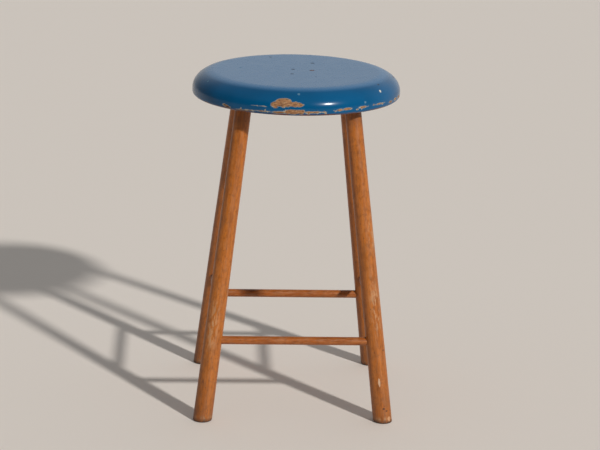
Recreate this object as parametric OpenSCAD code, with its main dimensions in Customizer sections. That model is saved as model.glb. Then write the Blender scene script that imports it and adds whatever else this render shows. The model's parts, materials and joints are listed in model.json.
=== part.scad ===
// Round-topped wooden stool: an edge-glued seat on four splayed legs tied by four stretchers.
// Millimetres, +Z up. The origin is on the floor, under the middle of the seat.
// Front is -Y and left is -X.

/* [Seat] */
// Height of the seat's top above the floor
seat_height = 570; // [420:5:700]
// Diameter of the seat
seat_d = 350; // [330:5:420]
// Thickness of the seat
seat_thickness = 40; // [32:1:52]
// How far the soft upper edge reaches in from the rim
upper_edge_reach = 39; // [20:1:60]
// Height of the upright band between the soft upper edge and the small lower one
edge_band = 5; // [2:0.5:10]
// Radius of the small lower edge
lower_edge_radius = 5; // [2:0.5:7]

/* [Seat boards] */
// Distance in Y from the legs' tops to the glue lines, which lie between them
leg_to_glue_line = 32; // [24:1:60]
// Thickness of each glue line
glue_line = 0.1; // [0.05:0.05:0.3]
// Diameter of the dowels across the glue lines
seat_dowel_d = 10; // [6:1:14]
// Length of the dowels across the glue lines
seat_dowel_length = 36; // [24:1:48]
// Distance from the rim in to the outer dowels, along a glue line
seat_dowel_inset = 35; // [28:1:45]

/* [Legs] */
// Distance from the rim in to the middle of a leg, at the seat's underside
leg_inset = 48; // [36:1:60]
// Lean of each leg away from upright, seen from the front and seen from the side
leg_lean = 6.7; // [2:0.1:9]
// Diameter of a leg where it enters the seat
leg_top_d = 27; // [24:0.5:30]
// Diameter of a leg at the floor
leg_foot_d = 32; // [28:0.5:38]
// Depth of the leg's end in its socket
leg_tenon_length = 28; // [18:1:28]
// Bevel round the bottom of each foot
foot_bevel = 1.5; // [0.5:0.5:4]

/* [Stretchers] */
// Diameter of the stretchers
stretcher_d = 14; // [12:0.5:16]
// Height of the front and back stretchers above the floor
front_stretcher_height = 136; // [80:1:220]
// How far the left and right stretchers stand above the front and back ones
side_stretcher_rise = 35; // [28:1:120]
// Depth of a stretcher's end in the leg
stretcher_tenon_length = 20; // [12:1:22]

/* [Fits] */
// Gap all round between a leg or stretcher end and its socket
socket_gap = 0.15; // [0.1:0.05:0.4]
// Space left at the bottom of each socket
socket_end_space = 1.5; // [0.5:0.5:3]
// Gap all round a seat dowel
dowel_gap = 0.1; // [0.05:0.05:0.3]
// Chamfer on the ends of legs, stretchers and dowels
end_chamfer = 1.5; // [0.5:0.5:2.5]

/* [Hidden] */

$fn = 96;
SEAT_BLUE = [0.02, 0.31, 0.53];
BEECH = [0.68, 0.40, 0.20];
PALE_BEECH = [0.80, 0.62, 0.42];

// Steps along the soft upper edge and along the small lower one
upper_edge_steps = 16;
lower_edge_steps = 6;

seat_r = seat_d / 2;
seat_bottom = seat_height - seat_thickness;

// The soft upper edge falls all the way to the upright band
upper_edge_drop = seat_thickness - edge_band - lower_edge_radius;

// The legs stand on the corners of a square, so a leg's axis leans out along its diagonal
leg_top_r = leg_top_d / 2;
leg_foot_r = leg_foot_d / 2;
leg_top_reach = seat_r - leg_inset;
leg_top_offset = leg_top_reach / sqrt(2);
leg_foot_offset = leg_top_offset + seat_bottom * tan(leg_lean);
leg_splay = atan(sqrt(2) * tan(leg_lean));
leg_axis_length = seat_bottom / cos(leg_splay);
leg_growth = (leg_foot_r - leg_top_r) / leg_axis_length;

// The middle of the glue line, its half length, and the edges of the boards beside it
glue_line_y = leg_top_offset - leg_to_glue_line;
glue_line_half_length = sqrt(seat_r * seat_r - glue_line_y * glue_line_y);
middle_board_y = glue_line_y - glue_line / 2;
outer_board_y = glue_line_y + glue_line / 2;

side_stretcher_height = front_stretcher_height + side_stretcher_rise;

// A round number that is larger than the whole stool, for cutting tools
beyond = 2 * (seat_height + seat_d);

// X and Y distance of a leg's axis from the middle, and the leg's radius, at a height above the floor
function leg_offset_at(z) =
    leg_foot_offset + (leg_top_offset - leg_foot_offset) * z / seat_bottom;
function leg_radius_at(z) =
    leg_foot_r + (leg_top_r - leg_foot_r) * z / seat_bottom;

// Half the length of a stretcher, with its ends in the legs, at a height above the floor
function stretcher_half_length(z) =
    leg_offset_at(z) - leg_radius_at(z) + stretcher_tenon_length;

// A round rod along +Z from the origin, chamfered at the ends named in which: "both" or "top"
module rod(d, length, which = "both") {
    r = d / 2;
    low = which == "both" ? end_chamfer : 0;
    rotate_extrude()
        polygon([
            [0, 0], [r - low, 0], [r, low],
            [r, length - end_chamfer], [r - end_chamfer, length], [0, length]
        ]);
}

// ---------------------------------------------------------------- seat

// Half section of the seat: flat top, soft upper edge, small lower edge, flat underside
module seat_section() {
    upper = [for (i = [0:upper_edge_steps])
        let (t = 90 * i / upper_edge_steps)
        [
            seat_r - upper_edge_reach * (1 - sin(t)),
            seat_height - upper_edge_drop * (1 - cos(t))
        ]];
    lower = [for (i = [0:lower_edge_steps])
        let (t = 90 * i / lower_edge_steps)
        [
            seat_r - lower_edge_radius * (1 - cos(t)),
            seat_bottom + lower_edge_radius * (1 - sin(t))
        ]];
    polygon(concat([[0, seat_height]], upper, lower, [[0, seat_bottom]]));
}

// The part of the round seat that lies between two distances from the middle in Y
module seat_slice(y_low, y_high) {
    intersection() {
        rotate_extrude() seat_section();
        translate([-beyond / 2, y_low, 0]) cube([beyond, y_high - y_low, beyond]);
    }
}

// X of the left, middle and right dowel on a glue line
seat_dowel_reach = glue_line_half_length - seat_dowel_inset;
seat_dowel_x = [-seat_dowel_reach, 0, seat_dowel_reach];

// Places its children on a glue line, along +Y and centred on the line; side is -1 front, 1 back
module at_seat_dowel(side, i) {
    translate([seat_dowel_x[i], side * glue_line_y, seat_bottom + seat_thickness / 2])
        rotate([-90, 0, 0])
            children();
}

module seat_dowel(side, i) {
    color(PALE_BEECH)
        at_seat_dowel(side, i)
            translate([0, 0, -seat_dowel_length / 2])
                rod(seat_dowel_d, seat_dowel_length);
}

module seat_dowel_holes(side) {
    hole_length = seat_dowel_length + 2 * socket_end_space;
    for (i = [0:2])
        at_seat_dowel(side, i)
            cylinder(h = hole_length, r = seat_dowel_d / 2 + dowel_gap, center = true);
}

module seat_board_outer(side) {
    color(SEAT_BLUE)
        difference() {
            if (side < 0) seat_slice(-seat_d, -outer_board_y);
            else seat_slice(outer_board_y, seat_d);
            for (corner = leg_corners) if (corner[1] == side) leg_socket(corner);
            seat_dowel_holes(side);
        }
}

module seat_board_front() { seat_board_outer(-1); }
module seat_board_back() { seat_board_outer(1); }

module seat_board_middle() {
    color(SEAT_BLUE)
        difference() {
            seat_slice(-middle_board_y, middle_board_y);
            seat_dowel_holes(-1);
            seat_dowel_holes(1);
        }
}

// ---------------------------------------------------------------- legs

// Signs of X and Y of each leg
leg_corners = [[-1, -1], [1, -1], [-1, 1], [1, 1]];

// Places its children on a leg's axis: the origin at the seat's underside, +Z up and inwards
module along_leg(corner) {
    rotate([0, 0, atan2(corner[1], corner[0])])
        translate([leg_top_reach, 0, seat_bottom])
            rotate([0, -leg_splay, 0])
                children();
}

// The blind socket for a leg's end, open through the seat's underside
module leg_socket(corner) {
    mouth = leg_top_d;
    along_leg(corner)
        translate([0, 0, -mouth])
            cylinder(h = mouth + leg_tenon_length + socket_end_space, r = leg_top_r + socket_gap);
}

// A leg as it leaves the lathe: straight in its socket, thicker towards the floor, over-long
module leg_blank(corner) {
    spare = leg_foot_d;
    along_leg(corner) {
        rod(leg_top_d, leg_tenon_length, which = "top");
        translate([0, 0, -leg_axis_length - spare])
            cylinder(
                h = leg_axis_length + spare,
                r1 = leg_foot_r + spare * leg_growth,
                r2 = leg_top_r
            );
    }
}

// Everything above the floor, drawn in to a bevel round the foot that stands at this corner
module above_floor(corner) {
    flare = leg_foot_r;
    translate([corner[0] * leg_foot_offset, corner[1] * leg_foot_offset, 0])
        cylinder(h = flare, r1 = leg_foot_r - foot_bevel, r2 = leg_foot_r - foot_bevel + flare);
    translate([-beyond / 2, -beyond / 2, flare]) cube([beyond, beyond, beyond]);
}

// The socket of each stretcher that ends in this leg
module stretcher_sockets(corner) {
    hole_r = stretcher_d / 2 + socket_gap;
    low = stretcher_half_length(front_stretcher_height) + socket_end_space;
    high = stretcher_half_length(side_stretcher_height) + socket_end_space;
    translate([0, corner[1] * leg_offset_at(front_stretcher_height), front_stretcher_height])
        rotate([0, corner[0] * 90, 0])
            cylinder(h = low, r = hole_r);
    translate([corner[0] * leg_offset_at(side_stretcher_height), 0, side_stretcher_height])
        rotate([-corner[1] * 90, 0, 0])
            cylinder(h = high, r = hole_r);
}

module leg(corner) {
    color(BEECH)
        difference() {
            intersection() {
                leg_blank(corner);
                above_floor(corner);
            }
            stretcher_sockets(corner);
        }
}

// ---------------------------------------------------------------- stretchers

// A stretcher between the two front legs or the two back ones
module stretcher_across(side) {
    half = stretcher_half_length(front_stretcher_height);
    color(BEECH)
        translate([-half, side * leg_offset_at(front_stretcher_height), front_stretcher_height])
            rotate([0, 90, 0])
                rod(stretcher_d, 2 * half);
}

// A stretcher between the two left legs or the two right ones
module stretcher_along(side) {
    half = stretcher_half_length(side_stretcher_height);
    color(BEECH)
        translate([side * leg_offset_at(side_stretcher_height), -half, side_stretcher_height])
            rotate([-90, 0, 0])
                rod(stretcher_d, 2 * half);
}

seat_board_front();
seat_board_middle();
seat_board_back();
seat_dowel(-1, 0);  // seat_dowel_front_left
seat_dowel(-1, 1);  // seat_dowel_front_middle
seat_dowel(-1, 2);  // seat_dowel_front_right
seat_dowel(1, 0);  // seat_dowel_back_left
seat_dowel(1, 1);  // seat_dowel_back_middle
seat_dowel(1, 2);  // seat_dowel_back_right
leg(leg_corners[0]);  // leg_front_left
leg(leg_corners[1]);  // leg_front_right
leg(leg_corners[2]);  // leg_back_left
leg(leg_corners[3]);  // leg_back_right
stretcher_across(-1);  // stretcher_front
stretcher_across(1);  // stretcher_back
stretcher_along(-1);  // stretcher_left
stretcher_along(1);  // stretcher_right
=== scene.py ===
"""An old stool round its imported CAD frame: a chipped blue seat on four varnished beech legs."""
import json
import math

import bmesh
import bpy
import numpy as np
from mathutils import Matrix, Vector, noise


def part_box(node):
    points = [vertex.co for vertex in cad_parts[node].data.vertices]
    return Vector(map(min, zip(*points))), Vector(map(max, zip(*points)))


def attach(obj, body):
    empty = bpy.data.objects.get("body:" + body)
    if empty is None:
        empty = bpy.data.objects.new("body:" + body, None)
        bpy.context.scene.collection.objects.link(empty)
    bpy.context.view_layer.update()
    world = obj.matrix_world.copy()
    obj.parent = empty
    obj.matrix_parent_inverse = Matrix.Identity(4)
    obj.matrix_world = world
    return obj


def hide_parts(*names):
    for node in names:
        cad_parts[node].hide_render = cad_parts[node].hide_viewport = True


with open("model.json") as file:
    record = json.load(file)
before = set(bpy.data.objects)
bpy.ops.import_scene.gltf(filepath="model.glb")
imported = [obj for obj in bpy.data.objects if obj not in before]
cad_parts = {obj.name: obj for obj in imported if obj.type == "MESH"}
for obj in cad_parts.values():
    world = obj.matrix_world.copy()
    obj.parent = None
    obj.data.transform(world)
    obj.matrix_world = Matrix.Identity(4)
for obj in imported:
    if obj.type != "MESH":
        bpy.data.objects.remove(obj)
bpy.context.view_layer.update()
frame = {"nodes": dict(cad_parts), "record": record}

MM = 0.001
TURN = 2 * math.pi
BOARDS = ("seat_board_front", "seat_board_middle", "seat_board_back")
CORNERS = {
    "front_left": (-1, -1),
    "front_right": (1, -1),
    "back_left": (-1, 1),
    "back_right": (1, 1),
}
STRETCHERS = ("stretcher_front", "stretcher_back", "stretcher_left", "stretcher_right")


# ---------------------------------------------------------------- sizes

def mount_place(name):
    """Where the record says a mount is."""
    return Vector(next(m["pos_m"] for m in frame["record"]["mounts"] if m["name"] == name))


def box_centre(node):
    """The middle of a CAD node's box."""
    low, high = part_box(node)
    return (low + high) / 2


board_boxes = [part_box(name) for name in BOARDS]
SEAT_TOP = max(high.z for low, high in board_boxes)
SEAT_BOTTOM = min(low.z for low, high in board_boxes)
SEAT_RADIUS = max(high.x for low, high in board_boxes)
GLUE_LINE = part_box("seat_board_middle")[1].y

# The soft upper edge, the upright band below it and the small lower edge
UPPER_REACH = 39 * MM
EDGE_BAND = 5 * MM
LOWER_RADIUS = 5 * MM
UPPER_DROP = SEAT_TOP - SEAT_BOTTOM - EDGE_BAND - LOWER_RADIUS
FLAT_RADIUS = SEAT_RADIUS - UPPER_REACH

# The legs' axes: one point on the floor, and their offset where the front stretcher meets them
FOOT_OFFSET = mount_place("foot_back_right").x
FRONT_STRETCHER = box_centre("stretcher_front")
LEAN = (FOOT_OFFSET - abs(FRONT_STRETCHER.y)) / FRONT_STRETCHER.z
LEG_TOP_RADIUS = 13.5 * MM
LEG_FOOT_RADIUS = 16 * MM
LEG_TENON = 28 * MM
STRETCHER_RADIUS = (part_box("stretcher_front")[1].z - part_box("stretcher_front")[0].z) / 2
END_CHAMFER = 1.5 * MM
SOCKET_GAP = 0.15 * MM
DOWEL_GAP = 0.1 * MM
END_SPACE = 1.5 * MM
LEG_LENGTH = SEAT_BOTTOM * math.hypot(1, LEAN, LEAN)

PAINT_THICKNESS = 0.3 * MM
# How far down the brush went under the seat, on average, and how unevenly, in mm
BRUSHED_UNDER = 5
BRUSH_WANDER = 2.5
# How far the wood lies below the paint as a rule and at the least, and how deep its dents are
WOOD_DEPTH = 0.06 * MM
LEAST_DEPTH = 0.05 * MM
DENT_DEPTH = 0.3 * MM
WORN_FOOT = 2.2 * MM

# The camera: metres, mm of lens and sensor, and degrees to the right, down and clockwise
CAMERA_PLACE = (-0.1684, -3.8101, 1.3370)
CAMERA_LENS = 138.18
CAMERA_SENSOR = 36.0
CAMERA_YAW = 2.7085
CAMERA_PITCH = 15.207
CAMERA_ROLL = -1.3655

# The lamp: the way its light goes, its strength, its width in degrees and its colour
KEY_DIRECTION = (-1.967, 2.670, -1.959)
KEY_POWER = 2.85
KEY_WIDTH = 3.0
KEY_COLOUR = (1.0, 0.965, 0.92)

# How bright the studio is behind the stool, at the left of it, in front of it and overhead
WALL_LIGHT = (0.62, 0.63, 0.63)
LEFT_LIGHT = (0.18, 0.18, 0.18)
ROOM_LIGHT = (0.03, 0.03, 0.03)
CEILING_LIGHT = (0.30, 0.30, 0.30)
# Where each of these lights turns into the next: the direction's X, Y and Z, from 1 to -1
WALL_TOP = math.sin(math.radians(38))
LEFT_FADE = (-0.9, 0.0)
FRONT_FADE = (-0.8, 0.7)
TOP_FADE = (WALL_TOP - 0.15, WALL_TOP + 0.15)
FLOOR_RADIUS = 16.0

# Steps that keep the noise of one piece or one use apart from that of the next
GRAIN_STEP = Vector((0.37, 0.11, 0.73))
NOISE_STEP = (17.3, 5.1, 11.7)


# ---------------------------------------------------------------- mesh helpers

def add_mesh(name, points, faces):
    """A new smooth-shaded object from points and faces."""
    mesh = bpy.data.meshes.new(name)
    mesh.from_pydata([tuple(p) for p in points], [], faces)
    mesh.validate()
    mesh.shade_smooth()
    obj = bpy.data.objects.new(name, mesh)
    bpy.context.scene.collection.objects.link(obj)
    return obj


def add_attribute(obj, name, values):
    """Stores one number for each point, for the materials to read."""
    attribute = obj.data.attributes.new(name, "FLOAT", "POINT")
    attribute.data.foreach_set("value", np.asarray(values, np.float32))


def grain_place(frame_of_grain, seed, point):
    """A point's place in the frame of a piece's grain, which differs from piece to piece."""
    return frame_of_grain.inverted() @ Vector(point) + GRAIN_STEP * seed


def add_grain(obj, frame_of_grain, seed):
    """Stores each point's place in the grain, with Z along it."""
    grain = [grain_place(frame_of_grain, seed, vertex.co) for vertex in obj.data.vertices]
    attribute = obj.data.attributes.new("grain", "FLOAT_VECTOR", "POINT")
    attribute.data.foreach_set("vector", np.asarray(grain, np.float32).ravel())


def sharpen(obj, degrees=35):
    """Keeps creases sharper than an angle crisp."""
    obj.data.set_sharp_from_angle(angle=math.radians(degrees))


def fractal(point, scale, octaves=3, seed=0.0):
    """Smooth noise of about -1 to 1, of features scale metres across."""
    place = Vector(point) / scale + Vector([seed * step for step in NOISE_STEP])
    octave_fall, octave_step = 1.0, 2.0
    return noise.fractal(place, octave_fall, octave_step, octaves)


def grid_faces(rows, columns):
    """Quads between rows of points that each run once round."""
    faces = []
    for i in range(rows - 1):
        for j in range(columns):
            k = (j + 1) % columns
            low, high = i * columns, (i + 1) * columns
            faces.append((low + j, low + k, high + k, high + j))
    return faces


def cut_with(obj, cutters):
    """Cuts each cutter out of obj and deletes the cutter."""
    for cutter in cutters:
        modifier = obj.modifiers.new("cut", "BOOLEAN")
        modifier.operation = "DIFFERENCE"
        modifier.solver = "EXACT"
        modifier.object = cutter
    bpy.context.view_layer.update()
    evaluated = obj.evaluated_get(bpy.context.evaluated_depsgraph_get())
    result = bpy.data.meshes.new_from_object(evaluated)
    obj.modifiers.clear()
    obj.data = result
    for cutter in cutters:
        bpy.data.objects.remove(cutter)


def along(start, direction):
    """A frame at start with its Z along the direction, for a piece whose grain runs that way."""
    turn = direction.to_track_quat("Z", "Y").to_matrix().to_4x4()
    return Matrix.Translation(start) @ turn


def cylinder_tool(start, end, radius, sides=48):
    """A closed cylinder between two points, to cut sockets with."""
    axis = end - start
    place = along(start, axis)
    points = []
    for height in (0.0, axis.length):
        for j in range(sides):
            angle = TURN * j / sides
            local = Vector((radius * math.cos(angle), radius * math.sin(angle), height))
            points.append(place @ local)
    faces = grid_faces(2, sides)
    faces.append(tuple(reversed(range(sides))))
    faces.append(tuple(range(sides, 2 * sides)))
    return add_mesh("socket_tool", points, faces)


# ---------------------------------------------------------------- seat outline

def seat_outline(upper_steps=120, lower_steps=30):
    """The seat's half section: distances along it, and for each its radius, height and normal."""
    stations = [(0.0, SEAT_TOP, 0.0, 1.0), (FLAT_RADIUS, SEAT_TOP, 0.0, 1.0)]
    for i in range(1, upper_steps + 1):
        t = math.pi / 2 * i / upper_steps
        normal = Vector((UPPER_DROP * math.sin(t), UPPER_REACH * math.cos(t))).normalized()
        stations.append((
            FLAT_RADIUS + UPPER_REACH * math.sin(t),
            SEAT_TOP - UPPER_DROP * (1 - math.cos(t)),
            normal.x,
            normal.y,
        ))
    for i in range(lower_steps + 1):
        t = math.pi / 2 * i / lower_steps
        stations.append((
            SEAT_RADIUS - LOWER_RADIUS * (1 - math.cos(t)),
            SEAT_BOTTOM + LOWER_RADIUS * (1 - math.sin(t)),
            math.cos(t),
            -math.sin(t),
        ))
    stations.append((0.0, SEAT_BOTTOM, 0.0, -1.0))
    path = np.array(stations)
    steps = np.hypot(np.diff(path[:, 0]), np.diff(path[:, 1]))
    return np.concatenate([[0.0], np.cumsum(steps)]), path


OUTLINE_DISTANCE, OUTLINE = seat_outline()
SKIN_END = OUTLINE_DISTANCE[-1]
UNDERSIDE_START = OUTLINE_DISTANCE[-2]


def on_seat(distance, around, lift=0.0):
    """A point of the seat's skin: metres from the top's middle, and the angle from the front."""
    station = [np.interp(distance, OUTLINE_DISTANCE, column) for column in OUTLINE.T]
    radius, height, out, up = station
    radius = radius + lift * out
    return np.stack([radius * np.sin(around), -radius * np.cos(around), height + lift * up], -1)


# ---------------------------------------------------------------- chips in the paint

# Chips on the front half: mm round the rim from the front towards the right, mm down the skin
# from the edge of the flat top, and half their width and height
LARGE_CHIPS = [(-41, 47.6, 7, 4.6), (-28, 43.1, 13, 7.5), (-12, 45.6, 9, 4), (-4, 46.1, 8, 3.8)]
CHIPS_BELOW = [(-34, 59.4, 12, 1.3), (-13, 58.0, 14, 3.6), (0, 57.6, 6.5, 3.4)]
SMALL_CHIPS = [
    (-136, 57.8, 3, 1.3), (-131, 59.0, 4, 1.6), (-126, 60.2, 3, 1.2), (-99, 61.1, 7, 0.6),
    (-84, 60.1, 6, 0.7), (-62, 59.3, 8, 0.9), (-66, 51.0, 5, 0.4), (18, 58.0, 15, 1.2),
    (66, 56.1, 5, 1.3), (79, 55.1, 7, 1.6), (112, 55.1, 7, 1.2), (150, 55.1, 9, 0.9),
    (186, 57.5, 6, 1.7), (209, 57.0, 7, 1.7), (232, 57.5, 8, 2.1),
]
# Down the skin, a strip of paint still holds between the large chips and those below them
HELD_FROM, HELD_TO = 49.3, 52.3
HELD_LEFT, HELD_RIGHT = -38, 6


def random_chips(count, low, high, size):
    """Small chips along the lower edge, where a seat gets knocked, from low to high in mm."""
    draw = np.random.default_rng(count)
    chips = []
    for i in range(count):
        width = size * (0.4 + draw.gamma(2.0, 0.5))
        height = min(width, 0.5 + 0.4 * draw.gamma(2.0, 0.5) * math.sqrt(width))
        chips.append((draw.uniform(low, high), draw.normal(58, 2), width, height))
    return chips


HALF_ROUND = math.pi * SEAT_RADIUS / MM
ALL_CHIPS = LARGE_CHIPS + CHIPS_BELOW + SMALL_CHIPS
ALL_CHIPS += random_chips(24, -110, 260, 0.6)
ALL_CHIPS += random_chips(46, 275, 2 * HALF_ROUND - 275, 4)


def paint_margin(distance, around):
    """How far inside the paint each point is, in mm, and half the nearest chip's smaller side.

    Where the first is below nought, the wood is bare.
    """
    across = around * SEAT_RADIUS / MM
    down = (distance - FLAT_RADIUS) / MM
    far_inside, usual_size = 30.0, 3.0
    margin = np.full(across.shape, far_inside)
    size = np.full(across.shape, usual_size)
    for chip_across, chip_down, half_width, half_height in ALL_CHIPS:
        away = (across - chip_across + HALF_ROUND) % (2 * HALF_ROUND) - HALF_ROUND
        reach = np.hypot(away / half_width, (down - chip_down) / half_height) - 1
        reach = reach * min(half_width, half_height)
        size = np.where(reach < margin, min(half_width, half_height), size)
        margin = np.minimum(margin, reach)
    held = np.minimum(down - HELD_FROM, HELD_TO - down)
    held = np.minimum(held, np.minimum(across - HELD_LEFT, HELD_RIGHT - across))
    return np.maximum(margin, held), size


def ragged(points, margin, size):
    """The margin with the ragged outline that broken paint has, less so round small chips."""
    result = margin.copy()
    strength = np.clip(0.3 * size, 0.35, 1.2)
    noise_reach = 4
    for i in np.nonzero(np.abs(margin) < noise_reach)[0]:
        coarse = fractal(points[i], 6 * MM, 3, 1.0)
        fine = fractal(points[i], 2.0 * MM, 2, 2.0)
        result[i] += strength[i] * (coarse + 0.5 * fine)
    return result


# ---------------------------------------------------------------- seat

def seat_skin(rows, columns):
    """Distance and angle of a middle point and of rings of points on the seat's skin."""
    around = (0.5 - np.arange(columns) / columns) * TURN
    distance, angle = np.meshgrid(rows, around, indexing="ij")
    ring_points = np.column_stack([distance.ravel(), angle.ravel()])
    return np.concatenate([[[0.0, 0.0]], ring_points])


def skin_faces(rows, columns):
    """Faces of a skin: a fan round the middle point, then quads between the rings."""
    faces = [(0, 1 + (j + 1) % columns, 1 + j) for j in range(columns)]
    faces += [tuple(1 + i for i in face) for face in grid_faces(rows, columns)]
    return faces


def between(first, second, share):
    """A place on the skin between two others, the short way round."""
    turn = (second[1] - first[1] + math.pi) % TURN - math.pi
    return first[0] + share * (second[0] - first[0]), first[1] + share * turn


def clip_skin(skin, margin, faces):
    """The skin, margins and faces that are left where the margin is above nought."""
    places = [tuple(place) for place in skin]
    margins = list(margin)
    made = {}

    def crossing(i, j):
        """The point of the edge from i to j where the margin is nought."""
        i, j = sorted((i, j))
        if (i, j) not in made:
            made[i, j] = len(places)
            places.append(between(places[i], places[j], margins[i] / (margins[i] - margins[j])))
            margins.append(0.0)
        return made[i, j]

    kept = []
    for face in faces:
        inside = sum(margins[i] > 0 for i in face)
        if inside == len(face):
            kept.append(face)
        elif inside:
            for k in range(1, len(face) - 1):
                triangle = (face[0], face[k], face[k + 1])
                outline = []
                for i, j in zip(triangle, triangle[1:] + triangle[:1]):
                    if margins[i] > 0:
                        outline.append(i)
                    if (margins[i] > 0) != (margins[j] > 0):
                        outline.append(crossing(i, j))
                if len(outline) > 2:
                    kept.append(tuple(outline))
    return np.array(places), np.array(margins), kept


def largest_part(count, faces):
    """The faces of the largest connected part, so that no loose flake is left."""
    parent = list(range(count))

    def root(i):
        """The first point of the part that holds point i."""
        while parent[i] != i:
            parent[i] = parent[parent[i]]
            i = parent[i]
        return i

    for face in faces:
        for i in face[1:]:
            parent[root(i)] = root(face[0])
    roots = [root(face[0]) for face in faces]
    largest = max(set(roots), key=roots.count)
    return [face for face, part in zip(faces, roots) if part == largest]


def make_paint():
    """The paint: a thin closed shell over the seat, with the chips cut through it."""
    step = 1.5 * MM
    columns = int(TURN * SEAT_RADIUS / step)
    last = UNDERSIDE_START + 9 * MM
    rim_rows = np.linspace(FLAT_RADIUS, last, int((last - FLAT_RADIUS) / step))
    rows = np.concatenate([np.linspace(0, FLAT_RADIUS, 12)[1:-1], rim_rows])
    skin = seat_skin(rows, columns)
    margin = ragged(on_seat(skin[:, 0], skin[:, 1]), *paint_margin(skin[:, 0], skin[:, 1]))
    # Under the seat the brush stopped at an uneven line
    wander = np.array([fractal(on_seat(UNDERSIDE_START, angle), 22 * MM) for angle in skin[:, 1]])
    brush_line = BRUSHED_UNDER + BRUSH_WANDER * wander
    margin = np.minimum(margin, brush_line - (skin[:, 0] - UNDERSIDE_START) / MM)
    skin, margin, faces = clip_skin(skin, margin, skin_faces(len(rows), columns))
    faces = largest_part(len(skin), faces)
    used = sorted({i for face in faces for i in face})
    number = {old: new for new, old in enumerate(used)}
    faces = [tuple(number[i] for i in face) for face in faces]
    skin = skin[used]
    margin = margin[used]

    # The film is a little thinner at its broken edges
    lift = PAINT_THICKNESS * np.clip(0.65 + 0.2 * margin, 0, 1)
    outer = on_seat(skin[:, 0], skin[:, 1], lift)
    inner = on_seat(skin[:, 0], skin[:, 1], np.zeros(len(skin)))
    count = len(skin)
    edges = {(i, j) for face in faces for i, j in zip(face, face[1:] + face[:1])}
    walls = [(j, i, i + count, j + count) for i, j in edges if (j, i) not in edges]
    under = [tuple(i + count for i in reversed(face)) for face in faces]
    paint = add_mesh("seat_paint", np.concatenate([outer, inner]), faces + under + sorted(walls))
    add_attribute(paint, "margin", np.tile(margin, 2))
    sharpen(paint, 50)
    return paint


def make_seat_blank():
    """The wooden seat before it is cut into boards: a closed body just below the paint."""
    step = 2.5 * MM
    columns = int(TURN * SEAT_RADIUS / step)
    rim_count = int((UNDERSIDE_START - FLAT_RADIUS) / step)
    rim_rows = np.linspace(FLAT_RADIUS, UNDERSIDE_START, rim_count)
    flat_rows = np.linspace(0, FLAT_RADIUS, 12)[1:-1]
    under_rows = np.linspace(UNDERSIDE_START, SKIN_END, 22)[1:-1]
    rows = np.concatenate([flat_rows, rim_rows, under_rows])
    skin = np.concatenate([seat_skin(rows, columns), [[SKIN_END, 0.0]]])
    faces = skin_faces(len(rows), columns)
    end = len(skin) - 1
    ring = end - columns
    faces += [(end, ring + j, ring + (j + 1) % columns) for j in range(columns)]
    # Where the paint is gone, the knocks have left small dents, full at 1.5 mm from its edge
    bare = np.clip(-paint_margin(skin[:, 0], skin[:, 1])[0] / 1.5, 0, 1)
    bare[skin[:, 0] > UNDERSIDE_START + 3 * MM] = 0
    dents = np.array([fractal(p, 6 * MM, 2, 5.0) for p in on_seat(skin[:, 0], skin[:, 1])])
    lift = -WOOD_DEPTH - DENT_DEPTH * bare * (0.6 + 0.6 * dents)
    points = on_seat(skin[:, 0], skin[:, 1], np.minimum(lift, -LEAST_DEPTH))
    return points, faces


def leg_axis(corner):
    """The foot's middle on the floor and the direction up the leg."""
    side_x, side_y = CORNERS[corner]
    foot = Vector((side_x * FOOT_OFFSET, side_y * FOOT_OFFSET, 0))
    return foot, Vector((-side_x * LEAN, -side_y * LEAN, 1)).normalized()


def make_board(name, low, high, corners, points, faces):
    """One seat board: the part of the blank between two glue lines, with its sockets."""
    board = add_mesh(name + "_wood", points, faces)
    body = bmesh.new()
    body.from_mesh(board.data)
    for place, normal in ((low, -1), (high, 1)):
        if place is None:
            continue
        cut = bmesh.ops.bisect_plane(
            body,
            geom=body.verts[:] + body.edges[:] + body.faces[:],
            plane_co=(0, place, 0),
            plane_no=(0, normal, 0),
            clear_outer=True,
        )
        open_edges = [e for e in cut["geom_cut"] if isinstance(e, bmesh.types.BMEdge)]
        bmesh.ops.holes_fill(body, edges=open_edges)
    bmesh.ops.recalc_face_normals(body, faces=body.faces)
    body.to_mesh(board.data)
    body.free()

    tools = []
    for corner in corners:
        foot, up = leg_axis(corner)
        mouth = foot + up * (LEG_LENGTH - 8 * MM)
        end = foot + up * (LEG_LENGTH + LEG_TENON + END_SPACE)
        tools.append(cylinder_tool(mouth, end, LEG_TOP_RADIUS + SOCKET_GAP))
    for dowel in (n for n in frame["nodes"] if n.startswith("seat_dowel")):
        dowel_low, dowel_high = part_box(dowel)
        middle = box_centre(dowel)
        if not any(line is not None and abs(middle.y - line) <= 1 * MM for line in (low, high)):
            continue
        half = Vector((0, (dowel_high.y - dowel_low.y) / 2 + END_SPACE, 0))
        radius = (dowel_high.z - dowel_low.z) / 2 + DOWEL_GAP
        tools.append(cylinder_tool(middle - half, middle + half, radius))
    cut_with(board, tools)
    sharpen(board)
    return board


# ---------------------------------------------------------------- legs and stretchers

def rod_mesh(name, rows, place, seed, wear=0.12 * MM, sides=48):
    """A round rod, not quite true, from rows of (height, radius, tilt of the row's plane)."""
    points = []
    for height, radius, floor in rows:
        for j in range(sides):
            angle = TURN * j / sides
            flat = Vector((radius * math.cos(angle), radius * math.sin(angle), 0))
            local = flat + Vector((0, 0, height - flat.dot(floor)))
            slow = fractal((flat.x, flat.y, local.z * 0.3), 30 * MM, 2, seed)
            flat *= 1 + wear * slow / LEG_TOP_RADIUS
            points.append(Vector((flat.x, flat.y, local.z)))
    faces = grid_faces(len(rows), sides)
    last = len(points) - sides
    points.append(Vector((0, 0, rows[0][0])))
    points.append(Vector((0, 0, rows[-1][0])))
    for j in range(sides):
        k = (j + 1) % sides
        faces.append((len(points) - 2, k, j))
        faces.append((len(points) - 1, last + j, last + k))
    return add_mesh(name, [place @ point for point in points], faces)


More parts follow.
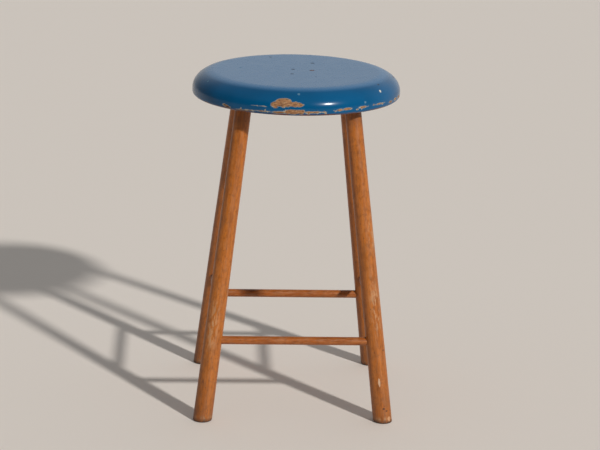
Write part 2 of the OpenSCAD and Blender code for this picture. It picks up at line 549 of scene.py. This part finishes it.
def make_leg(corner, seed):
    """A leg: its end in the seat's socket, and thicker towards a worn foot flat on the floor."""
    foot, up = leg_axis(corner)
    place = along(foot, up)
    # In the leg's own frame the floor is tilted
    floor = place.to_3x3().inverted() @ Vector((0, 0, 1))
    tilt = Vector((floor.x, floor.y, 0)) / floor.z
    level = Vector((0, 0, 0))
    taper = (LEG_TOP_RADIUS - LEG_FOOT_RADIUS) / LEG_LENGTH

    rows = []
    foot_steps = 5
    for i in range(foot_steps + 1):
        t = math.pi / 2 * i / foot_steps
        inset = WORN_FOOT * (1 - math.sin(t))
        rise = WORN_FOOT * (1 - math.cos(t))
        rows.append((rise, LEG_FOOT_RADIUS + taper * rise - inset, tilt))
    steps = 100
    for i in range(1, steps):
        height = WORN_FOOT + (LEG_LENGTH - WORN_FOOT) * i / steps
        share = min(height / (60 * MM), 1)
        rows.append((height, LEG_FOOT_RADIUS + taper * height, tilt * (1 - share)))
    end = LEG_LENGTH + LEG_TENON
    rows.append((LEG_LENGTH, LEG_TOP_RADIUS, level))
    rows.append((end - END_CHAMFER, LEG_TOP_RADIUS, level))
    rows.append((end, LEG_TOP_RADIUS - END_CHAMFER, level))
    leg = rod_mesh("leg_" + corner + "_turned", rows, place, seed)

    side_x, side_y = CORNERS[corner]
    ends = [("stretcher_front" if side_y < 0 else "stretcher_back", Vector((side_x, 0, 0)))]
    ends.append(("stretcher_left" if side_x < 0 else "stretcher_right", Vector((0, side_y, 0))))
    tools = []
    for node, outward in ends:
        low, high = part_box(node)
        middle = (low + high) / 2
        reach = (high - low).dot(Vector(map(abs, outward))) / 2 + END_SPACE
        inner = middle + outward * reach * 0.5
        outer = middle + outward * reach
        tools.append(cylinder_tool(inner, outer, STRETCHER_RADIUS + SOCKET_GAP))
    cut_with(leg, tools)
    sharpen(leg)
    return leg


def stretcher_run(node):
    """The way a stretcher lies, along X or along Y."""
    low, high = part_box(node)
    size = high - low
    return Vector((1, 0, 0)) if size.x > size.y else Vector((0, 1, 0))


def make_stretcher(node, seed):
    """A stretcher: a plain round rod with chamfered ends inside the legs' sockets."""
    low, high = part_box(node)
    direction = stretcher_run(node)
    length = max(high - low)
    start = (low + high) / 2 - direction * length / 2
    level = Vector((0, 0, 0))
    rows = [(0, STRETCHER_RADIUS - END_CHAMFER, level), (END_CHAMFER, STRETCHER_RADIUS, level)]
    steps = 60
    for i in range(1, steps):
        height = END_CHAMFER + (length - 2 * END_CHAMFER) * i / steps
        rows.append((height, STRETCHER_RADIUS, level))
    rows.append((length - END_CHAMFER, STRETCHER_RADIUS, level))
    rows.append((length, STRETCHER_RADIUS - END_CHAMFER, level))
    place = along(start, direction)
    stretcher = rod_mesh(node + "_turned", rows, place, seed, wear=0.06 * MM, sides=32)
    sharpen(stretcher)
    return stretcher


# ---------------------------------------------------------------- materials

# The sockets of a colour mix go by number, because the node's other kinds share their names
MIX_SHARE = 0
MIX_FIRST = 6
MIX_SECOND = 7
MIX_RESULT = 2


class Finish:
    """A material under construction, with short names for the nodes it needs."""

    def __init__(self, name):
        """An empty material with its surface shader."""
        self.material = bpy.data.materials.new(name)
        self.material.use_nodes = True
        self.tree = self.material.node_tree
        self.surface = self.tree.nodes["Principled BSDF"]

    def set(self, **inputs):
        """Sets or links inputs of the surface, named with underscores for spaces."""
        for name, value in inputs.items():
            self.put(self.surface.inputs[name.replace("_", " ")], value)

    def put(self, socket, value):
        """Gives a socket a value, or links another node's output to it."""
        if isinstance(value, bpy.types.NodeSocket):
            self.tree.links.new(value, socket)
        else:
            socket.default_value = value

    def node(self, kind, inputs, **settings):
        """A new node with its inputs and settings."""
        made = self.tree.nodes.new("ShaderNode" + kind)
        for name, value in settings.items():
            setattr(made, name, value)
        for key, value in inputs.items():
            self.put(made.inputs[key], value)
        return made

    def place(self):
        """The point in the piece's own frame, in metres."""
        return self.tree.nodes.new("ShaderNodeTexCoord").outputs["Object"]

    def attribute(self, name):
        """A number that the mesh stores for each point."""
        return self.node("Attribute", {}, attribute_name=name).outputs["Fac"]

    def vector(self, name):
        """A vector that the mesh stores for each point."""
        return self.node("Attribute", {}, attribute_name=name).outputs["Vector"]

    def noise(self, place, scale, detail=3.0, rough=0.5):
        """Smooth noise from 0 to 1, mostly near a half."""
        inputs = {"Vector": place, "Scale": scale, "Detail": detail, "Roughness": rough}
        return self.node("TexNoise", inputs).outputs["Fac"]

    def math(self, operation, first, second):
        """One operation of arithmetic on two numbers."""
        return self.node("Math", {0: first, 1: second}, operation=operation).outputs[0]

    def band(self, value, start, end, low=0.0, high=1.0):
        """A smooth step from low to high as the value goes from start to end."""
        inputs = {"Value": value, 1: start, 2: end, 3: low, 4: high}
        return self.node("MapRange", inputs, interpolation_type="SMOOTHSTEP").outputs[0]

    def mix(self, share, first, second):
        """Two colours mixed by a share."""
        inputs = {MIX_SHARE: share, MIX_FIRST: first, MIX_SECOND: second}
        return self.node("Mix", inputs, data_type="RGBA").outputs[MIX_RESULT]

    def bump(self, height, strength, depth, below=None):
        """A surface normal from a height, on top of another bump if there is one below."""
        inputs = {"Height": height, "Strength": strength, "Distance": depth}
        if below is not None:
            inputs["Normal"] = below
        return self.node("Bump", inputs).outputs[0]


def colour(red, green, blue):
    """A colour as it looks on screen, from 0 to 255, as linear light."""
    parts = [c / 255 for c in (red, green, blue)]
    return (*[p / 12.92 if p <= 0.04045 else ((p + 0.055) / 1.055) ** 2.4 for p in parts], 1.0)


def scaled(finish, vector, sizes):
    """A place scaled so that noise has features of these sizes in metres."""
    scales = tuple(1 / size for size in sizes)
    return finish.node("VectorMath", {0: vector, 1: scales}, operation="MULTIPLY").outputs[0]


def spot(finish, place, centre, sizes, strength=1.0):
    """How much of a small ragged mark there is at a place, from 0 to 1."""
    offset = {0: place, 1: tuple(centre)}
    away = finish.node("VectorMath", offset, operation="SUBTRACT").outputs[0]
    in_sizes = scaled(finish, away, sizes)
    reach = finish.node("VectorMath", {0: in_sizes}, operation="LENGTH").outputs["Value"]
    rough = finish.noise(place, 1 / min(sizes), 2)
    # The noise adds about 0.45, so a mark fades out near the edge of its size
    reach = finish.math("ADD", reach, finish.math("MULTIPLY", rough, 0.9))
    return finish.band(reach, 1.15, 1.45, strength, 0.0)


def wood_colour(finish, grain, dark, middle, light):
    """Wood along the grain: broad rings, fine fibres and the short dark flecks of beech."""
    broad = finish.noise(scaled(finish, grain, (9 * MM, 9 * MM, 180 * MM)), 1, 2)
    fibre = finish.noise(scaled(finish, grain, (0.9 * MM, 0.9 * MM, 45 * MM)), 1, 3, 0.6)
    fleck = finish.noise(scaled(finish, grain, (0.5 * MM, 0.5 * MM, 3 * MM)), 1, 1)
    base = finish.mix(finish.band(broad, 0.35, 0.65), middle, light)
    base = finish.mix(finish.band(fibre, 0.45, 0.7, 0.0, 0.45), base, dark)
    return finish.mix(finish.band(fleck, 0.64, 0.74, 0.0, 0.45), base, dark), fibre


BLUE_DEEP = colour(0, 76, 119)
BLUE_BRIGHT = colour(2, 83, 129)
# Paler grey-blue for the top: scuffs and a painted reflection of the bright room in the gloss
BLUE_SCUFFED_AND_REFLECTION = colour(60, 111, 155)
BROKEN_EDGE = colour(174, 164, 144)
WORN_BROWN = colour(112, 68, 46)
BARE_TONES = (colour(92, 58, 35), colour(144, 99, 61), colour(166, 119, 78))
BARE_GRIME = colour(80, 50, 32)
BARE_PALE = colour(190, 150, 110)
LEG_TONES = (colour(100, 53, 14), colour(169, 94, 25), colour(186, 107, 33))
STRETCHER_TONES = (colour(98, 50, 12), colour(155, 81, 17), colour(168, 91, 24))
RUBBED_PALE = colour(196, 158, 118)
NICK = colour(84, 52, 32)
# Dark brown used for dirt on the feet and also as painted shade at the foot's edge and under the
# seat
DIRT_AND_SHADE = colour(58, 40, 30)
FLOOR_PALE = colour(231, 224, 217)

# Small marks on the paint: mm from the top's middle, degrees from the front, size in mm, colour
DARK_MARK = (52, 52, 56)
BROWN_MARK = (112, 74, 48)
PALE_MARK = (84, 126, 152)
WHITE_MARK = (214, 212, 200)
SEAT_MARKS = [
    (10, -146, 3.4, DARK_MARK),
    (32, -16, 3.4, DARK_MARK),
    (70, 155, 3.6, DARK_MARK),
    (26, 92, 5, BROWN_MARK),
    (165, 89, 3, BROWN_MARK),
    (158, 57, 2.4, DARK_MARK),
    (162, -1, 2.6, PALE_MARK),
    (164, -67, 2.4, PALE_MARK),
    (120, 200, 3, DARK_MARK),
    (95, 260, 2.4, PALE_MARK),
    (60, 30, 1.6, DARK_MARK),
    (184, 38, 2.2, PALE_MARK),
    (171, 53, 2.8, WHITE_MARK),
]


def enamel_finish():
    """Old blue gloss paint: scuffed and paler on top as a painted reflection, pale at its broken
    edges and brown at the lowest.
    """
    finish = Finish("blue_enamel")
    place = finish.place()
    height = finish.node("SeparateXYZ", {0: place}).outputs[2]
    # Painted reflection: the top is paler and greyer, as if the gloss reflected a bright wall; it
    # is also scuffed
    scuffed_top_and_reflection = finish.band(height, SEAT_TOP - 5 * MM, SEAT_TOP - 0.5 * MM)
    patches = finish.noise(place, 16, 2)
    blue = finish.mix(finish.band(patches, 0.3, 0.7), BLUE_DEEP, BLUE_BRIGHT)
    blue = finish.mix(scuffed_top_and_reflection, blue, BLUE_SCUFFED_AND_REFLECTION)
    edge_noise = finish.noise(place, 400, 2)
    ragged_by = finish.math("MULTIPLY", edge_noise, -1.4)
    edge = finish.math("ADD", finish.attribute("margin"), ragged_by)
    patchy = finish.band(finish.noise(place, 150, 2), 0.4, 0.6, 0.35, 0.9)
    worn = finish.math("MULTIPLY", finish.band(edge, -0.5, 0.3, 1.0, 0.0), patchy)
    blue = finish.mix(worn, blue, BROKEN_EDGE)
    # The lowest edge is where hands and knocks have worn the film thin and brown
    lowest = finish.band(height, SEAT_BOTTOM + 1.8 * MM, SEAT_BOTTOM + 3.8 * MM, 1.0, 0.0)
    thin = finish.band(finish.noise(place, 38, 3, 0.6), 0.42, 0.58, 0.15, 0.9)
    blue = finish.mix(finish.math("MULTIPLY", lowest, thin), blue, WORN_BROWN)
    marked = 0.0
    for out, degrees, size, mark_colour in SEAT_MARKS:
        centre = on_seat(out * MM, math.radians(degrees))
        share = spot(finish, place, centre, (size * MM, size * MM, size * MM), 0.85)
        blue = finish.mix(share, blue, colour(*mark_colour))
        marked = finish.math("MAXIMUM", share, marked)
    rough = finish.band(finish.noise(place, 45, 3), 0.3, 0.7, 0.18, 0.205)
    rough = finish.math("ADD", rough, finish.math("MULTIPLY", scuffed_top_and_reflection, 0.08))
    rough = finish.math("ADD", rough, finish.math("MULTIPLY", marked, 0.5))
    normal = finish.bump(finish.noise(place, 60, 1), 0.2, 0.01 * MM)
    finish.set(Base_Color=blue, Roughness=rough, Normal=normal)
    finish.set(Specular_IOR_Level=0.34, IOR=1.4)
    return finish.material


def bare_wood_finish():
    """Bare beech where the paint is gone and under the seat, with some dirt in it."""
    finish = Finish("bare_beech")
    grain = finish.vector("grain")
    wood, fibre = wood_colour(finish, grain, *BARE_TONES)
    grime = finish.noise(scaled(finish, grain, (2.5 * MM, 2.5 * MM, 6 * MM)), 1, 4, 0.65)
    wood = finish.mix(finish.band(grime, 0.46, 0.64, 0.0, 0.75), wood, BARE_GRIME)
    pale = finish.noise(scaled(finish, grain, (3 * MM, 3 * MM, 7 * MM)), 1, 3)
    wood = finish.mix(finish.band(pale, 0.56, 0.68, 0.0, 0.6), wood, BARE_PALE)
    finish.set(Base_Color=wood, Roughness=0.75, Normal=finish.bump(fibre, 0.4, 0.15 * MM))
    return finish.material


def varnish_finish(name, tones, marks=()):
    """Beech under old varnish: grain along the piece, rubbed pale places, dirt at the foot, and
    painted shade at the foot's edge and under the seat.
    """
    finish = Finish(name)
    grain = finish.vector("grain")
    dark = tones[0]
    wood, fibre = wood_colour(finish, grain, *tones)
    mottle = finish.noise(scaled(finish, grain, (14 * MM, 14 * MM, 30 * MM)), 1, 3)
    wood = finish.mix(finish.band(mottle, 0.5, 0.75, 0.0, 0.35), wood, dark)
    grubby = finish.noise(scaled(finish, grain, (5 * MM, 5 * MM, 8 * MM)), 1, 3, 0.65)
    wood = finish.mix(finish.band(grubby, 0.45, 0.7, 0.0, 0.45), wood, dark)
    streaks = finish.noise(scaled(finish, grain, (3 * MM, 3 * MM, 14 * MM)), 1, 4, 0.65)
    in_streaks = finish.band(streaks, 0.44, 0.6)
    rubbed = finish.math("MULTIPLY", finish.attribute("rubbed"), in_streaks)
    wood = finish.mix(finish.math("MULTIPLY", rubbed, 0.7), wood, RUBBED_PALE)
    nicks = finish.noise(scaled(finish, grain, (2.6 * MM, 2.6 * MM, 4 * MM)), 1, 2)
    nick = finish.band(nicks, 0.70, 0.75)
    wood = finish.mix(finish.math("MULTIPLY", nick, 0.7), wood, NICK)
    uneven = finish.band(streaks, 0.3, 0.6, 0.5, 1.0)
    # This darkening is dirt at the feet, and painted shade at the foot's edge and under the seat
    dirt_and_shade = finish.math("MULTIPLY", finish.attribute("dirt_and_shade"), uneven)
    wood = finish.mix(dirt_and_shade, wood, DIRT_AND_SHADE)
    for centre, sizes, mark_colour in marks:
        wood = finish.mix(spot(finish, grain, centre, sizes, 0.8), wood, colour(*mark_colour))
    dull = finish.math("MULTIPLY", finish.math("ADD", rubbed, dirt_and_shade), 0.2)
    rough = finish.math("ADD", finish.band(streaks, 0.3, 0.7, 0.34, 0.46), dull)
    normal = finish.bump(fibre, 0.3, 0.08 * MM)
    normal = finish.bump(mottle, 0.3, 0.3 * MM, normal)
    finish.set(Base_Color=wood, Roughness=rough, Normal=normal, IOR=1.5)
    return finish.material


def floor_finish():
    """A plain pale floor."""
    finish = Finish("pale_floor")
    finish.set(Base_Color=FLOOR_PALE, Roughness=0.8, Specular_IOR_Level=0.3)
    return finish.material


# ---------------------------------------------------------------- wear on the legs

# For each leg: height of a rubbed place, half its height, and the way it faces as degrees from
# the front towards the right
RUBBED = {
    "front_left": [(165, 45, -15)],
    "front_right": [(200, 45, 25), (320, 30, 60)],
    "back_left": [(210, 40, 200)],
    "back_right": [(180, 50, 160)],
}

# How rubbed the legs are all over, how far round a rubbed place reaches, and the pale ring that
# shows just above the worn edge of each foot
RUBBED_ALL_OVER = 0.12
RUBBED_REACH = 0.6
RING = 0.9
RING_HEIGHT = 7 * MM
RING_WIDTH = 2.5 * MM

# How dirty each leg is just above its foot, how fast that fades upwards, the foot's dark edge
# (dirt and painted contact shade), and the painted shade close under the seat, where the seat's
# shadow falls
FOOT_DIRT = {"front_left": 0.42, "front_right": 0.3, "back_left": 0.55, "back_right": 0.55}
FOOT_DIRT_FADE = 60 * MM
EDGE_DIRT_AND_SHADE = 1.4
EDGE_DIRT_AND_SHADE_HEIGHT = 2.7 * MM
PAINTED_SEAT_SHADE = 0.4
PAINTED_SEAT_SHADE_DEPTH = 30 * MM
PAINTED_SEAT_SHADE_FADE = 2 * MM

# Small marks on the legs: corner, height, degrees from the front, half width and height, colour
LEG_MARKS = [
    ("front_right", 71, 0, 2, 9, (206, 176, 148)),
    ("front_right", 26, 12, 2.8, 1.8, (46, 26, 18)),
    ("front_right", 22, 30, 2.0, 1.6, (46, 26, 18)),
    ("front_right", 124, 50, 2.0, 2, (56, 32, 22)),
    ("front_right", 8, 42, 3.5, 5, (196, 146, 104)),
    ("front_right", 345, 80, 1.5, 4, (74, 34, 22)),
    ("front_left", 300, 20, 1.5, 6, (120, 70, 34)),
    ("front_left", 70, -30, 2, 4, (120, 66, 32)),
    ("back_left", 90, 190, 2, 7, (204, 172, 140)),
    ("back_right", 260, 170, 1.6, 5, (66, 40, 28)),
]


def leg_marks():
    """The marks as places in the grain, half sizes across and along it, and colours."""
    marks = []
    for corner, height, degrees, half_width, half_height, mark_colour in LEG_MARKS:
        foot, up = leg_axis(corner)
        angle = math.radians(degrees)
        on_axis = foot + up * (height * MM / up.z)
        skin = on_axis + LEG_FOOT_RADIUS * Vector((math.sin(angle), -math.cos(angle), 0))
        centre = grain_place(along(foot, up), list(CORNERS).index(corner), skin)
        marks.append((centre, (half_width * MM, half_width * MM, half_height * MM), mark_colour))
    return marks


def wear_leg(leg, corner):
    """Marks where a leg is rubbed, where its foot is dirty, and where shade is painted at the
    foot's edge and under the seat, for its finish to read.
    """
    foot, up = leg_axis(corner)
    rubbed = []
    dirt_and_shade = []
    for vertex in leg.data.vertices:
        point = vertex.co
        axis_point = foot + up * (point.z / up.z)
        facing = math.atan2(point.x - axis_point.x, axis_point.y - point.y)
        amount = RUBBED_ALL_OVER
        for height, half, degrees in RUBBED[corner]:
            away = (facing - math.radians(degrees) + math.pi) % TURN - math.pi
            spread = ((point.z - height * MM) / (half * MM)) ** 2 + (away / RUBBED_REACH) ** 2
            amount = max(amount, math.exp(-spread))
        ring = RING * math.exp(-((point.z - RING_HEIGHT) / RING_WIDTH) ** 2)
        rubbed.append(max(amount, ring))
        # The foot's lowest edge is darkened, partly dirt and partly painted contact shade where
        # the leg meets the floor
        contact_dirt_and_shade = EDGE_DIRT_AND_SHADE * math.exp(-(point.z / EDGE_DIRT_AND_SHADE_HEIGHT) ** 4)
        grime = max(contact_dirt_and_shade, FOOT_DIRT[corner] * math.exp(-point.z / FOOT_DIRT_FADE))
        # Painted shade: the top of the leg is darkened where the seat's shadow falls on it
        below = (SEAT_BOTTOM - PAINTED_SEAT_SHADE_DEPTH - point.z) / PAINTED_SEAT_SHADE_FADE
        dirt_and_shade.append(max(grime, PAINTED_SEAT_SHADE / (1 + math.exp(below))))
    add_attribute(leg, "rubbed", rubbed)
    add_attribute(leg, "dirt_and_shade", dirt_and_shade)


def finish_piece(piece, material, slot, *nodes):
    """Gives a piece its material and its place in the frame."""
    piece.data.materials.clear()
    piece.data.materials.append(material)
    if nodes:
        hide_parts(*nodes)
    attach(piece, "root")


# ---------------------------------------------------------------- stage

def add_floor(material, sides=64):
    """A floor that reaches past the camera's view on every side."""
    angles = [TURN * j / sides for j in range(sides)]
    points = [(FLOOR_RADIUS * math.cos(a), FLOOR_RADIUS * math.sin(a), 0) for a in angles]
    floor = add_mesh("floor", points, [tuple(range(sides))])
    floor.data.materials.append(material)


def add_camera():
    """The photographer's place: nearly 4 m off, looking down about 15 degrees."""
    data = bpy.data.cameras.new("camera")
    data.sensor_width = CAMERA_SENSOR
    data.lens = CAMERA_LENS
    camera = bpy.data.objects.new("camera", data)
    bpy.context.scene.collection.objects.link(camera)
    yaw = math.radians(CAMERA_YAW)
    pitch = math.radians(CAMERA_PITCH)
    roll = math.radians(CAMERA_ROLL)
    level = math.cos(pitch)
    forward = Vector((math.sin(yaw) * level, math.cos(yaw) * level, -math.sin(pitch)))
    right = Vector((math.cos(yaw), -math.sin(yaw), 0))
    down = forward.cross(right)
    rolled_right = math.cos(roll) * right + math.sin(roll) * down
    rolled_down = math.cos(roll) * down - math.sin(roll) * right
    turn = Matrix((rolled_right, -rolled_down, -forward)).transposed()
    camera.matrix_world = Matrix.Translation(CAMERA_PLACE) @ turn.to_4x4()
    bpy.context.scene.camera = camera


def add_key_light():
    """One far lamp, high at the right of the camera, that throws the shadow back and left."""
    data = bpy.data.lights.new("key", "SUN")
    data.angle = math.radians(KEY_WIDTH)
    data.energy = KEY_POWER
    data.color = KEY_COLOUR
    lamp = bpy.data.objects.new("key", data)
    lamp.matrix_world = Vector(KEY_DIRECTION).to_track_quat("-Z", "Y").to_matrix().to_4x4()
    bpy.context.scene.collection.objects.link(lamp)


def studio_mix(tree, share, first, second):
    """Two lights mixed by a share. Each is a colour or another mix."""
    mixed = tree.nodes.new("ShaderNodeMix")
    mixed.data_type = "RGBA"
    tree.links.new(share, mixed.inputs[MIX_SHARE])
    for light, socket in ((first, mixed.inputs[MIX_FIRST]), (second, mixed.inputs[MIX_SECOND])):
        if isinstance(light, bpy.types.NodeSocket):
            tree.links.new(light, socket)
        else:
            socket.default_value = (*light, 1)
    return mixed.outputs[MIX_RESULT]


def add_surroundings():
    """The studio's light: a bright wall behind the stool, and dimmer on the other sides."""
    world = bpy.data.worlds.new("studio")
    world.use_nodes = True
    tree = world.node_tree
    direction = tree.nodes.new("ShaderNodeTexCoord").outputs["Generated"]
    parts = tree.nodes.new("ShaderNodeSeparateXYZ")
    tree.links.new(direction, parts.inputs[0])
    shares = []
    for output, (start, end) in enumerate((LEFT_FADE, FRONT_FADE, TOP_FADE)):
        step = tree.nodes.new("ShaderNodeMapRange")
        step.interpolation_type = "SMOOTHSTEP"
        step.inputs[1].default_value = start
        step.inputs[2].default_value = end
        tree.links.new(parts.outputs[output], step.inputs[0])
        shares.append(step.outputs[0])
    wall = studio_mix(tree, shares[0], LEFT_LIGHT, WALL_LIGHT)
    sides = studio_mix(tree, shares[1], ROOM_LIGHT, wall)
    everything = studio_mix(tree, shares[2], sides, CEILING_LIGHT)
    tree.links.new(everything, tree.nodes["Background"].inputs[0])
    bpy.context.scene.world = world


# ---------------------------------------------------------------- the scene

enamel = enamel_finish()
bare_wood = bare_wood_finish()
leg_varnish = varnish_finish("leg_beech", LEG_TONES, leg_marks())
stretcher_varnish = varnish_finish("stretcher_beech", STRETCHER_TONES)

finish_piece(make_paint(), enamel, "seat_paint")

blank_points, blank_faces = make_seat_blank()
board_plan = [
    ("seat_board_front", None, -GLUE_LINE, ("front_left", "front_right")),
    ("seat_board_middle", -GLUE_LINE, GLUE_LINE, ()),
    ("seat_board_back", GLUE_LINE, None, ("back_left", "back_right")),
]
for number, (node, low, high, corners) in enumerate(board_plan):
    board = make_board(node, low, high, corners, blank_points, blank_faces)
    add_grain(board, along(Vector((0, 0, SEAT_BOTTOM)), Vector((1, 0, 0))), number + 4)
    finish_piece(board, bare_wood, "bare_beech", node)

for seed, corner in enumerate(CORNERS):
    leg = make_leg(corner, seed)
    wear_leg(leg, corner)
    add_grain(leg, along(*leg_axis(corner)), seed)
    finish_piece(leg, leg_varnish, "leg_beech", "leg_" + corner)

for seed, node in enumerate(STRETCHERS):
    stretcher = make_stretcher(node, 10 + seed)
    count = len(stretcher.data.vertices)
    add_attribute(stretcher, "rubbed", [0.2] * count)
    add_attribute(stretcher, "dirt_and_shade", [0.0] * count)
    add_grain(stretcher, along(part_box(node)[0], stretcher_run(node)), seed + 8)
    finish_piece(stretcher, stretcher_varnish, "stretcher_beech", node)

for name, node in frame["nodes"].items():
    if name.startswith("seat_dowel"):
        node.data.materials.clear()
        node.data.materials.append(bare_wood)

add_floor(floor_finish())
add_surroundings()
add_key_light()
add_camera()
bpy.context.scene.view_settings.view_transform = "Standard"
